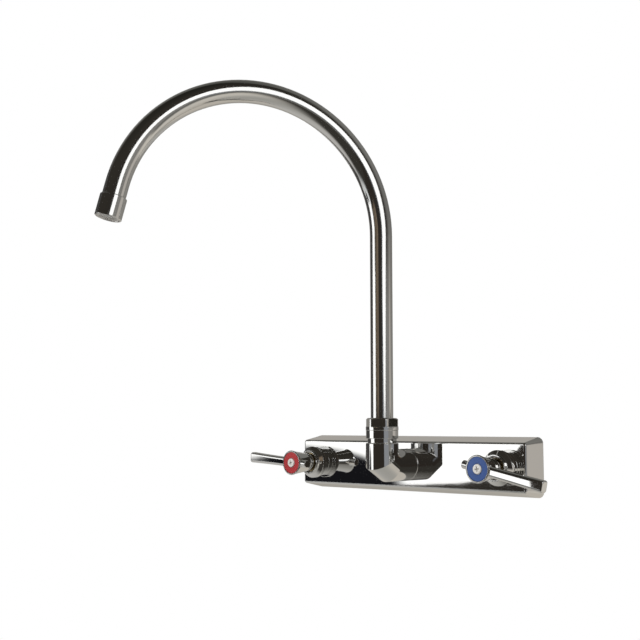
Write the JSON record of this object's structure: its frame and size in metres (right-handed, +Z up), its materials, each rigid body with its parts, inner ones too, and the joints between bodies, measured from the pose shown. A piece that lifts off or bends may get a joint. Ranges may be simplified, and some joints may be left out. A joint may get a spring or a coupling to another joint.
{
  "type": "wall faucet",
  "caption": "Wall-mounted kitchen faucet with a box body, quarter-turn lever valves and a swivelling gooseneck spout with an aerator.",
  "frame": {"origin": "centre of the back of the body on the wall plane, midway between the valves at the height of their axes", "axes": "+X to the right as the user sees it, +Y into the wall, +Z up"},
  "size_m": [0.317, 0.2711, 0.3435],
  "materials": {
    "cast_chrome": "polished chrome over a casting",
    "tube_chrome": "polished chrome over drawn tube",
    "brass": "machined",
    "stainless": "bright stainless",
    "rubber": "matte black",
    "ceramic": "lapped white",
    "white_plastic": "moulded white",
    "red_plastic": "gloss red",
    "blue_plastic": "gloss blue"
  },
  "bodies": {
    "base": {"faucet_body": "cast_chrome", "spout_elbow": "cast_chrome", "elbow_ring": "rubber", "thrust_washer": "white_plastic", "swivel_bush": "white_plastic", "spout_nut": "cast_chrome", "hot_seat_seal": "rubber", "hot_fixed_disc": "ceramic", "hot_cartridge_body": "brass", "hot_cartridge_ring": "rubber", "hot_bonnet_nut": "cast_chrome", "cold_seat_seal": "rubber", "cold_fixed_disc": "ceramic", "cold_cartridge_body": "brass", "cold_cartridge_ring": "rubber", "cold_bonnet_nut": "cast_chrome"},
    "hot_lever": {"hot_stem": "brass", "hot_stem_ring": "rubber", "hot_stem_clip": "stainless", "hot_moving_disc": "ceramic", "hot_handle": "cast_chrome", "hot_index_ring": "red_plastic", "hot_handle_screw": "stainless"},
    "cold_lever": {"cold_stem": "brass", "cold_stem_ring": "rubber", "cold_stem_clip": "stainless", "cold_moving_disc": "ceramic", "cold_handle": "cast_chrome", "cold_index_ring": "blue_plastic", "cold_handle_screw": "stainless"},
    "spout": {"spout_tube": "tube_chrome", "swivel_sleeve": "brass", "swivel_rings": "rubber", "aerator_housing": "tube_chrome", "aerator_washer": "rubber", "aerator_screen": "stainless", "aerator_insert": "white_plastic", "aerator_retainer": "stainless"}
  },
  "joints": [
    {"name": "hot_turn", "type": "hinge", "parent": "base", "child": "hot_lever", "pos_m": [-0.1016, -0.055, 0], "axis": [0, -1, 0], "range_deg": [0, 90]},
    {"name": "cold_turn", "type": "hinge", "parent": "base", "child": "cold_lever", "pos_m": [0.1016, -0.055, 0], "axis": [0, -1, 0], "range_deg": [-90, 0]},
    {"name": "spout_swivel", "type": "hinge", "parent": "base", "child": "spout", "pos_m": [0, -0.0522, 0.03], "axis": [0, 0, 1], "range_deg": [-73.5, 126.5]}
  ]
}
